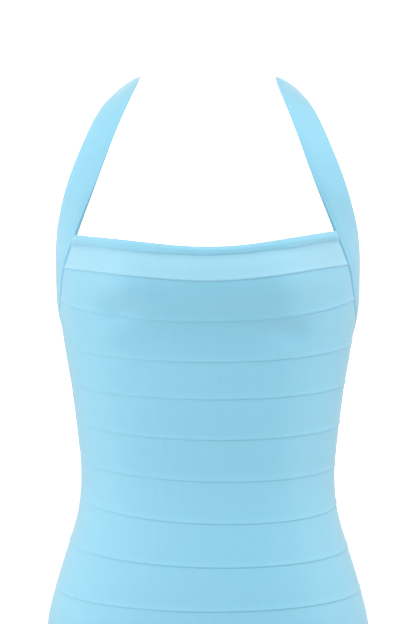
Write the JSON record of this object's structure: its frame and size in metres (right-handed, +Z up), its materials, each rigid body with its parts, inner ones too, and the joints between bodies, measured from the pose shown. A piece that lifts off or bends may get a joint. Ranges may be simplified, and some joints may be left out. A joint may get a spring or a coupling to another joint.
{
  "type": "bodycon dress with wide straps",
  "caption": "Close-fitting dress of horizontal bandage-knit strips, with a rolled straight neckline and wide straps over the shoulders, open at top and hem.",
  "frame": {"origin": "the base of the neck, midway between the two places where the straps lie over a wearer's shoulders", "axes": "+Z up, -Y the front of the dress, +X the wearer's left"},
  "size_m": [0.3368, 0.2433, 0.8455],
  "materials": {
    "knit": "matte"
  },
  "bodies": {
    "root": {"front_strip_00": "knit", "front_strip_01": "knit", "front_strip_02": "knit", "front_strip_03": "knit", "front_strip_04": "knit", "front_strip_05": "knit", "front_strip_06": "knit", "front_strip_07": "knit", "front_strip_08": "knit", "front_strip_09": "knit", "front_strip_10": "knit", "front_strip_11": "knit", "front_strip_12": "knit", "front_strip_13": "knit", "front_strip_14": "knit", "front_strip_15": "knit", "front_strip_16": "knit", "back_strip_01": "knit", "back_strip_02": "knit", "back_strip_03": "knit", "back_strip_04": "knit", "back_strip_05": "knit", "back_strip_06": "knit", "back_strip_07": "knit", "back_strip_08": "knit", "back_strip_09": "knit", "back_strip_10": "knit", "back_strip_11": "knit", "back_strip_12": "knit", "back_strip_13": "knit", "back_strip_14": "knit", "back_strip_15": "knit", "back_strip_16": "knit", "neck_binding": "knit", "back_binding": "knit", "strap_left": "knit", "strap_right": "knit"}
  },
  "joints": []
}
